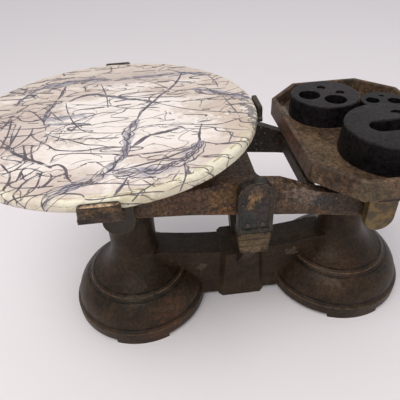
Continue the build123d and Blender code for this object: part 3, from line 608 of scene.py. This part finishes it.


# Veined stone: a cloudy ground that is palest in the middle, with painted shade over its far side, a creamy
# stained rim whose cream is painted full only at the front, partly as a painted highlight, and over it the
# fine lines and the veins from the mesh attributes. An edge of the fine lines has its own weight, and one of
# little weight doesn't show
def marble(name, rimStart, centre):
    material, tree, shader, place = newMaterial(name, **{"Specular IOR Level": stone["shine"]})
    cloud = noise(tree, shifted(tree, place, (1.0, 2.0, 1.0)), 15.0, 6.0, 0.6, 0.5)
    fine = noise(tree, shifted(tree, place, (1.0, 2.4, 1.0)), 130.0, 6.0, 0.7)
    drift = calc(tree, "SUBTRACT", cloud, 0.5)
    away = vectorCalc(tree, "SUBTRACT", place, centre)
    forward = apart(tree, away)["Y"]
    middle = vectorCalc(tree, "SUBTRACT", away, stone["heart"])
    middle = length(tree, vectorCalc(tree, "MULTIPLY", middle, stone["heartReach"]))
    middle = calc(tree, "ADD", middle, times(tree, drift, 3.6))
    colour = mix(tree, ease(tree, middle, 0.55, 1.35), stone["light"], stone["pink"])
    spots = noise(tree, shifted(tree, place, (1.0, 2.0, 1.0), (2, 5, 1)), 34.0, 7.0, 0.7)
    dusky = ease(tree, middle, 0.3, 1.5, 0.15, 0.95)
    colour = mix(tree, times(tree, ease(tree, spots, 0.5, 0.72), dusky), colour, stone["tan"])
    colour = mix(tree, ease(tree, fine, 0.5, 0.8, 0.0, 0.4), colour, stone["tan"])

    reach = length(tree, vectorCalc(tree, "MULTIPLY", away, (1.0, 1.0, 0.0)))
    edge = calc(tree, "ADD", reach, times(tree, drift, 8 * mm))
    rim = ease(tree, edge, rimStart, rimStart + 4 * mm)
    # the rim's cream is painted full only at the front, as the stone's colour and as a painted highlight on
    # the front rim
    front = ease(tree, forward, 0.03, -0.05, 0.2, 1.0)
    colour = mix(tree, times(tree, rim, front), colour, stone["cream"])
    for scale, share, shade, strength in stone["rimStains"]:
        stains = stainMask(tree, place, scale, share, 0.06)
        colour = mix(tree, times(tree, stains, rim, strength), colour, shade)
    band = calc(tree, "ABSOLUTE", calc(tree, "SUBTRACT", edge, rimStart + 5 * mm))
    band = ease(tree, band, 1.3 * mm, 0.3 * mm)
    dirt = times(tree, band, stainMask(tree, place, 70.0, 0.5, 0.06), front, 0.7)
    colour = mix(tree, dirt, colour, stone["dirt"])
    for shade, pixel, size, ragged, strength in stone["clouds"]:
        spot = (*(onLevel([pixel], centre[2])[0] / mm), centre[2] / mm)
        mask = patchMask(tree, place, spot, size, ragged)
        colour = mix(tree, times(tree, mask, strength), colour, shade)

    ink = mix(tree, ease(tree, cloud, 0.42, 0.58), stone["ink"], stone["brownInk"])
    rear = ease(tree, forward, -0.08, 0.08, 1.0, 1.5)
    uneven = noise(tree, place, 70.0, 3.0)
    for attribute, (half, least, strength) in stone["lines"].items():
        parts = apart(tree, attributeOf(tree, attribute))
        width = ease(tree, uneven, 0.35, 0.65, 0.65 * half, 1.25 * half)
        width = times(tree, width, rear, ease(tree, parts["Y"], least, 1.0, 0.7, 1.6))
        line = ease(tree, calc(tree, "ABSOLUTE", parts["X"]), width, times(tree, width, 0.45))
        near = ease(tree, parts["Z"], 2.6, 1.9)
        shown = ease(tree, parts["Y"], least, least + 0.1, 0.0, strength)
        colour = mix(tree, times(tree, line, near, shown), colour, ink)
    for attribute, (wash, dark, spread, thick, wander) in stone["veins"].items():
        values = {
            "Vein": attributeOf(tree, attribute), "Place": place, "Spread": spread, "Thick": thick,
            "Wander": wander,
        }
        masks = useGroup(tree, vein, values)
        colour = mix(tree, times(tree, masks["Wash"], wash), colour, stone["wash"])
        colour = mix(tree, times(tree, masks["Strands"], dark), colour, ink)
    specks = stainMask(tree, place, 260.0, 0.03, 0.02)
    colour = mix(tree, times(tree, specks, 0.8), colour, stone["brown"])
    tree.links.new(colour, shader.inputs["Base Color"])
    rough = ease(tree, fine, 0.3, 0.7, stone["rough"] - 0.08, stone["rough"] + 0.14)
    tree.links.new(rough, shader.inputs["Roughness"])
    bump = add(tree, "Bump", {"Strength": 0.25, "Distance": 0.5 * mm, "Height": fine})
    tree.links.new(bump.outputs["Normal"], shader.inputs["Normal"])
    return material


# Veins read from the photograph, in its pixels: half width in mm, then the points it passes.
# Those of one set keep apart, so that each point of the stone has one nearest vein in the set
veins = {
    "bundles": [
        (6.4, [
            (36, 208), (54, 193), (79, 184), (102, 176), (111, 168), (118, 162), (123, 154), (127, 145),
        ]),
        (6.6, [(127, 145), (128, 138), (133, 127), (137, 120)]),
        (8.6, [(116, 173), (131, 173), (150, 171), (168, 168), (182, 161), (192, 152), (201, 143)]),
        (5.6, [(120, 79), (141, 77), (163, 75), (185, 72), (206, 75)]),
        (7.0, [(30, 92), (46, 87), (58, 85), (71, 82), (91, 80), (110, 80)]),
        (6.6, [(194, 89), (207, 90), (218, 92), (229, 94), (241, 96), (249, 98)]),
        (3.2, [(43, 125), (58, 124), (73, 124), (89, 124)]),
    ],
    "strokes": [
        (2.0, [(137, 120), (141, 112), (150, 104), (161, 95), (171, 88), (178, 80), (182, 73)]),
        (1.6, [(113, 171), (134, 167), (157, 161), (180, 153), (200, 143), (199, 133), (202, 124)]),
        (2.8, [(134, 145), (141, 140), (150, 135), (160, 133), (171, 131), (178, 128)]),
        (3.4, [
            (70, 101), (77, 98), (87, 95), (95, 94), (104, 95), (114, 97), (130, 99), (143, 100), (154, 102),
        ]),
        (1.8, [(16, 106), (22, 100), (31, 94), (37, 90)]),
        (2.4, [(56, 101), (53, 106), (49, 110), (46, 115), (44, 122)]),
        (2.2, [(66, 87), (63, 93), (58, 99)]),
        (1.3, [(54, 150), (66, 151), (83, 151), (95, 149), (108, 147), (123, 147)]),
        (1.1, [(184, 163), (186, 173), (185, 181), (186, 189)]),
        (1.0, [(200, 141), (217, 144), (226, 144), (239, 143), (245, 146)]),
        (1.3, [(127, 178), (122, 185), (118, 190), (114, 196)]),
    ],
    "lines": [
        (0.8, [
            (128, 134), (140, 127), (150, 125), (172, 124), (189, 124), (207, 125), (221, 124), (240, 118),
            (251, 116),
        ]),
        (0.7, [(154, 102), (171, 106), (182, 108), (197, 110), (211, 111), (227, 112), (247, 112)]),
        (0.7, [(13, 106), (29, 105), (50, 102), (60, 101), (70, 101)]),
        (0.6, [(71, 104), (83, 105), (100, 105), (116, 106), (130, 109), (143, 108), (160, 111)]),
        (0.8, [(50, 132), (62, 127), (73, 123), (80, 119), (91, 116), (100, 113), (108, 112), (120, 113)]),
        (0.8, [(48, 135), (58, 138), (70, 140), (80, 143), (87, 145), (99, 145), (108, 147)]),
        (0.8, [(50, 163), (54, 155), (66, 154), (83, 153), (100, 154), (119, 154)]),
        (0.6, [(110, 154), (124, 156), (139, 154), (158, 152), (178, 148), (190, 146)]),
        (0.7, [(127, 205), (136, 198), (140, 192), (149, 187), (160, 178)]),
        (0.6, [(197, 156), (207, 156), (219, 156), (226, 154), (234, 158), (240, 154)]),
        (0.6, [(223, 96), (230, 104), (238, 113), (240, 117)]),
        (0.6, [(133, 78), (160, 84), (172, 91), (192, 89)]),
    ],
    "net": [
        (0.8, [(13, 115), (5, 126), (0, 131)]),
        (0.8, [(22, 110), (13, 116), (0, 120)]),
        (0.9, [(13, 116), (18, 118), (21, 121), (30, 122), (40, 120), (48, 118), (51, 112)]),
        (0.9, [(12, 119), (8, 135), (0, 149)]),
        (0.8, [(21, 126), (13, 140), (8, 149), (0, 156)]),
        (0.7, [(16, 124), (12, 133), (10, 144)]),
        (0.9, [(33, 128), (31, 135), (19, 145), (12, 149)]),
        (0.7, [(46, 130), (31, 135)]),
        (0.7, [(48, 136), (45, 143)]),
        (0.8, [(31, 135), (36, 140), (44, 144), (49, 146), (54, 150), (70, 151), (80, 151)]),
        (0.8, [(23, 145), (24, 152), (27, 159)]),
        (0.8, [(32, 145), (31, 153), (33, 160)]),
        (1.7, [(5, 148), (16, 154), (27, 159), (36, 162), (45, 165), (50, 168)]),
        (0.8, [(27, 161), (14, 171), (9, 172), (10, 181), (0, 192)]),
        (0.8, [(33, 163), (20, 171), (18, 180), (9, 184), (2, 192)]),
        (0.8, [(40, 167), (21, 179), (10, 184)]),
        (0.9, [(44, 172), (25, 181), (18, 190), (11, 196), (12, 205), (14, 208)]),
        (0.7, [(21, 172), (24, 180)]),
        (0.8, [(42, 172), (36, 188), (26, 195)]),
        (0.8, [(50, 174), (52, 177), (45, 185), (36, 189)]),
        (0.8, [(66, 173), (54, 177), (44, 187)]),
        (1.1, [(50, 167), (57, 164), (66, 168), (66, 178), (71, 181)]),
        (0.8, [(0, 164), (8, 172)]),
        (0.7, [(0, 140), (12, 150), (24, 145), (38, 146)]),
        (0.7, [(0, 176), (14, 170), (30, 168), (42, 172)]),
        (0.7, [(28, 110), (36, 114), (44, 122), (46, 130)]),
    ],
    "crossings": [
        (0.7, [(66, 103), (67, 111), (72, 121), (80, 130), (91, 133), (108, 133), (120, 133), (130, 130)]),
        (0.7, [(17, 113), (28, 106)]),
        (0.7, [(43, 108), (50, 111), (58, 119), (63, 122)]),
        (0.7, [(73, 140), (83, 137), (91, 135)]),
        (0.6, [(225, 129), (232, 134), (229, 142)]),
        (0.6, [(180, 128), (202, 129), (216, 127), (229, 129), (251, 130)]),
        (0.6, [(143, 180), (156, 187)]),
        (0.6, [(180, 170), (176, 175), (172, 181)]),
        (0.6, [(190, 168), (203, 167), (213, 171)]),
        (0.6, [(207, 75), (215, 80), (218, 87)]),
        (0.6, [(174, 98), (183, 95), (192, 93), (201, 93)]),
        (0.6, [(108, 108), (107, 96), (101, 84)]),
    ],
}
slab = {
    "segments": 448, "step": 1.02 * mm, "topRound": 4.5 * mm, "underRound": 4.0 * mm, "fit": 0.15 * mm,
    # wear of the rim, and how deep the cream reaches in from it
    "worn": 9 * mm, "chip": 0.7 * mm, "uneven": 0.12 * mm, "rim": 10 * mm,
    # fine lines: length along and across of the pattern, turn in degrees, seed
    "threads": (150 * mm, 30 * mm, -3, 11), "hairs": (95 * mm, 34 * mm, 24, 34),
    "network": (52 * mm, 19 * mm, -6, 21), "leftNetwork": (30 * mm, 15 * mm, 38, 23),
    # where along X from the middle the left-hand pattern is whole, and where it has faded
    "leftReach": (-92 * mm, -24 * mm),
}


# Signed distance from the lines on which a smooth random field is nought, worked out as the field over its
# slope: the lines fork and join like fine veins
def contour(flat, along, across, turn, seed, waves=26):
    random = np.random.default_rng(seed)
    pull = random.normal(0, 2 * np.pi, (waves, 2)) / (along, across)
    turn = radians(turn)
    pull = pull @ np.array([(cos(turn), sin(turn)), (-sin(turn), cos(turn))])
    phase = flat @ pull.T + random.uniform(0, 2 * np.pi, waves)
    slope = np.linalg.norm(np.cos(phase) @ pull, axis=1)
    return np.sin(phase).sum(axis=1) / np.maximum(slope, 1.0)


# Signed distance from the nearest edge of a pattern of long random cells, and the weight of that edge from
# 0 to 1. The places are bent first, so that the edges wander
def cellEdges(flat, along, across, turn, seed):
    random = np.random.default_rng(seed)
    level = np.column_stack((flat, np.zeros(len(flat))))
    slow = [lumps(level, 46 * mm, seed + n) * 3.2 * mm for n in (0, 1)]
    quick = [lumps(level, 13 * mm, seed + n) * 0.7 * mm for n in (2, 3)]
    flat = flat - flat.mean(axis=0) + np.stack((slow[0] + quick[0], slow[1] + quick[1]), 1)
    turn = radians(turn)
    axes = np.array([(cos(turn), sin(turn)), (-sin(turn), cos(turn))]) / np.array([(along,), (across,)])
    reach = 0.17
    count = int((2 * reach) ** 2 / (along * across))
    sites = random.uniform(-reach, reach, (count, 2))
    gaps = ((flat[:, None] @ axes.T - sites @ axes.T) ** 2).sum(axis=2)
    first, second = np.argpartition(gaps, 1, axis=1)[:, :2].T
    row = np.arange(len(flat))
    slope = np.linalg.norm((sites[first] - sites[second]) @ axes.T @ axes, axis=1)
    distance = np.where(first < second, 0.5, -0.5) * np.abs(gaps[row, second] - gaps[row, first]) / slope
    share = random.uniform(0, 1, count)
    return distance, np.modf((share[first] + share[second]) * 5)[0]


# Corners are cut twice, so that a vein bends instead of turning
def softened(points):
    for _ in range(2):
        near = 0.75 * points[:-1] + 0.25 * points[1:]
        far = 0.25 * points[:-1] + 0.75 * points[1:]
        points = np.concatenate((points[:1], np.stack((near, far), 1).reshape(-1, 2), points[-1:]))
    return points


# For every place: side and distance over the half width, and length along, of the nearest vein in a set
def veinField(flat, height, veinSet):
    best = np.full(len(flat), np.inf)
    field = np.zeros((len(flat), 3))
    start = 0.0
    for half, pixels in veinSet:
        line = softened(onLevel(pixels, height))
        step = np.diff(line, axis=0)
        length = np.linalg.norm(step, axis=1)
        passed = np.concatenate(((0,), np.cumsum(length)))
        away = flat[:, None] - line[:-1]
        share = np.clip((away * step).sum(2) / length ** 2, 0, 1)
        off = away - share[..., None] * step
        distance = np.linalg.norm(off, axis=2)
        nearest = distance.argmin(axis=1)
        row = np.arange(len(flat))
        along = passed[nearest] + share[row, nearest] * length[nearest]
        taper = 0.45 + 0.55 * np.sqrt(np.clip(np.sin(np.pi * along / passed[-1]), 0, 1))
        reach = distance[row, nearest] / (half * mm * taper)
        cross = step[nearest, 0] * off[row, nearest, 1] - step[nearest, 1] * off[row, nearest, 0]
        closer = reach < best
        best = np.where(closer, reach, best)
        found = np.stack((reach * np.sign(cross), along / mm + start, reach), 1)
        field = np.where(closer[:, None], found, field)
        start += 300.0
    return np.clip(field, (-6, 0, 0), (6, 1e6, 6))


# Three values on every point, which a material reads by the attribute's name
def keepOnPoints(mesh, name, values):
    attribute = mesh.attributes.new(name, "FLOAT_VECTOR", "POINT")
    attribute.data.foreach_set("vector", values.astype(np.float32).ravel())


# The slab is a profile turned round an upright axis: a flat top, a quarter round, an upright edge, a quarter
# round and a flat foot. Near the rim its points move inwards by waves and chips, and its top sinks in waves
def marblePlate():
    low, high = (np.array(corner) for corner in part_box("marble_plate"))
    centre = (low + high) / 2
    radius, top, foot = (high[0] - low[0]) / 2, high[2], low[2]
    topRound, underRound = slab["topRound"], slab["underRound"]
    profile = [(0, top)] + [(r, top) for r in np.arange(slab["step"], radius - topRound, slab["step"])]
    for turn in np.linspace(0, np.pi / 2, 9):
        out, up = topRound * np.sin(turn), topRound * np.cos(turn)
        profile.append((radius - topRound + out, top - topRound + up))
    for turn in np.linspace(0, np.pi / 2, 6):
        out, down = underRound * np.cos(turn), underRound * np.sin(turn)
        profile.append((radius - underRound + out, foot + underRound - down))
    profile += [(r, foot) for r in np.linspace(radius - underRound, 0, 12)[1:]]
    mesh = turnedMesh("stonePlate", profile, slab["segments"], centre)
    points = meshPoints(mesh)
    out = points[:, :2] - centre[:2]
    reach = np.linalg.norm(out, axis=1)
    atRim = np.clip((reach - radius + slab["worn"]) / slab["worn"], 0, 1)[:, None]
    chips = np.clip(lumps(points, 9 * mm, 4) - 0.9, 0, 1)
    wave = np.clip(1 + lumps(points, 30 * mm, 5), 0, None) * slab["uneven"]
    inward = (chips * slab["chip"] + wave + slab["fit"])[:, None]
    points[:, :2] -= atRim * inward * out / np.maximum(reach, mm)[:, None]
    sunk = np.clip(1 + lumps(points, 60 * mm, 6), 0, None) * 0.5 * slab["uneven"]
    points[:, 2] -= np.where(points[:, 2] > top - 0.5 * mm, sunk, 0)
    mesh.vertices.foreach_set("co", points.ravel())

    # The pattern runs on over the rim as if the stone were unrolled there
    flat = centre[:2] + out * (1 + 1.2 * (top - points[:, 2]) / np.maximum(reach, mm))[:, None]
    distance, weight = cellEdges(flat, *slab["leftNetwork"])
    whole, gone = slab["leftReach"]
    fade = points[:, 0] - centre[0] + 12 * mm * lumps(points, 40 * mm, 8)
    lines = {
        "threads": (contour(flat, *slab["threads"]), 0.3 + 0.5 * (lumps(points, 70 * mm, 3) > -0.1)),
        "hairs": (contour(flat, *slab["hairs"]), np.clip(0.5 + 0.4 * lumps(points, 60 * mm, 9), 0, 1)),
        "network": cellEdges(flat, *slab["network"]),
        "leftNetwork": (distance, weight * np.clip((gone - fade) / (gone - whole), 0, 1)),
    }
    for name, (distance, weight) in lines.items():
        distance = np.clip(distance / mm, -6, 6)
        keepOnPoints(mesh, name, np.column_stack((distance, weight, np.abs(distance))))
    for name, veinSet in veins.items():
        keepOnPoints(mesh, name, veinField(flat, top, veinSet))
    mesh.materials.append(marble("marble", radius - slab["rim"], tuple(centre)))
    piece = newPiece("stonePlate", mesh, "marble_plate")
    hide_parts("marble_plate")
    print("marble plate:", len(points), "points")


marblePlate()

for part in frame["record"]["subparts"]:
    piece = cad[part["node"]]
    if part["material_slot"] in finishes:
        piece.data.materials.clear()
        piece.data.materials.append(finishes[part["material_slot"]])
print("materials:", len(finishes))


# Floor, light and camera
room = {
    "floor": (0.80, 0.76, 0.775, 1), "floorReach": 6.0, "world": (0.93, 0.92, 0.94, 1), "worldStrength": 0.76,
    "aim": (0.0, 0.0, 0.12),
    # place, diameter, power, shade
    "lamps": {
        "ceiling": ((-0.4, -0.62, 1.5), 1.1, 13.4, (1.0, 0.98, 0.95)),
        "side": ((1.3, 0.4, 1.0), 0.9, 0.8, (0.96, 0.97, 1.0)),
    },
}


def stageFloor():
    material, tree, shader, place = newMaterial("paper", Roughness=0.9)
    shader.inputs["Base Color"].default_value = room["floor"]
    reach = room["floorReach"]
    mesh = bpy.data.meshes.new("floor")
    corners = [(-reach, -reach, 0), (reach, -reach, 0), (reach, reach, 0), (-reach, reach, 0)]
    mesh.from_pydata(corners, [], [(0, 1, 2, 3)])
    mesh.materials.append(material)
    floor = bpy.data.objects.new("floor", mesh)
    bpy.context.scene.collection.objects.link(floor)


def makeLamp(name, place, size, power, shade):
    data = bpy.data.lights.new(name, "AREA")
    data.shape = "DISK"
    data.size = size
    data.energy = power
    data.color = shade
    lamp = bpy.data.objects.new(name, data)
    lamp.location = place
    lamp.rotation_euler = (Vector(room["aim"]) - Vector(place)).to_track_quat("-Z", "Y").to_euler()
    bpy.context.scene.collection.objects.link(lamp)


def makeWorld():
    world = bpy.data.worlds.new("room")
    world.use_nodes = True
    bpy.context.scene.world = world
    background = world.node_tree.nodes["Background"].inputs
    background["Color"].default_value = room["world"]
    background["Strength"].default_value = room["worldStrength"]


def makeCamera():
    data = bpy.data.cameras.new("camera")
    data.lens = shot["lens"]
    data.sensor_width = shot["sensor"]
    data.clip_start = 0.01
    camera = bpy.data.objects.new("camera", data)
    camera.matrix_world = Matrix.Translation(shot["place"]) @ cameraTurn().to_4x4()
    bpy.context.scene.collection.objects.link(camera)
    bpy.context.scene.camera = camera


stageFloor()
for name, settings in room["lamps"].items():
    makeLamp(name, *settings)
makeWorld()
makeCamera()
bpy.context.scene.view_settings.view_transform = "Standard"
print("stage, lamps and camera")
